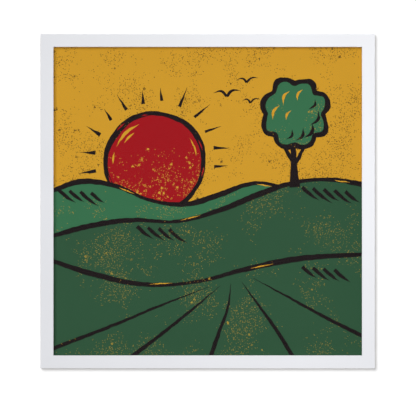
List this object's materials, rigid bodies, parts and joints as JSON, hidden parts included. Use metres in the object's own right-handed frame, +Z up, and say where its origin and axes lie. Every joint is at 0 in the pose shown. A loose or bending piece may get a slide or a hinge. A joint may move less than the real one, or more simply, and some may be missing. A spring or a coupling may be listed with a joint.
{
  "type": "framed print",
  "caption": "Square framed print: white mitred rails hold glass, a printed sheet and a back board; it hangs by a sawtooth hanger.",
  "frame": {"origin": "the middle notch of the sawtooth hanger, on the plane of the wall", "axes": "+X to the right as seen from the front, +Y from the front towards the wall, +Z up; the wall is the plane y = 0"},
  "size_m": [0.53, 0.0225, 0.53],
  "materials": {
    "rail_lacquer": "satin white lacquer on the front and sides, bare wood on the back",
    "glazing": "clear float glass, polished",
    "print": "matt paper with block-print inks in ochre, green, red and black",
    "backing_card": "plain white card",
    "backing_board": "bare fibreboard, smooth",
    "flex_point_steel": "thin bare steel strip",
    "v_nail_steel": "bare rolled steel",
    "hanger_steel": "bright zinc plating",
    "bumper": "soft grey rubber, matt"
  },
  "bodies": {
    "root": {"rail_bottom": "rail_lacquer", "rail_left": "rail_lacquer", "rail_top": "rail_lacquer", "rail_right": "rail_lacquer", "glazing": "glazing", "print_sheet": "print", "backing_card": "backing_card", "backing_board": "backing_board", "flex_point_bottom_1": "flex_point_steel", "flex_point_bottom_2": "flex_point_steel", "flex_point_bottom_3": "flex_point_steel", "flex_point_bottom_4": "flex_point_steel", "flex_point_left_1": "flex_point_steel", "flex_point_left_2": "flex_point_steel", "flex_point_left_3": "flex_point_steel", "flex_point_left_4": "flex_point_steel", "flex_point_top_1": "flex_point_steel", "flex_point_top_2": "flex_point_steel", "flex_point_top_3": "flex_point_steel", "flex_point_top_4": "flex_point_steel", "flex_point_right_1": "flex_point_steel", "flex_point_right_2": "flex_point_steel", "flex_point_right_3": "flex_point_steel", "flex_point_right_4": "flex_point_steel", "v_nail_bottom_left_1": "v_nail_steel", "v_nail_bottom_left_2": "v_nail_steel", "v_nail_top_left_1": "v_nail_steel", "v_nail_top_left_2": "v_nail_steel", "v_nail_top_right_1": "v_nail_steel", "v_nail_top_right_2": "v_nail_steel", "v_nail_bottom_right_1": "v_nail_steel", "v_nail_bottom_right_2": "v_nail_steel", "hanger": "hanger_steel", "hanger_pin_left": "hanger_steel", "hanger_pin_right": "hanger_steel", "bumper_left": "bumper", "bumper_right": "bumper"}
  },
  "joints": []
}
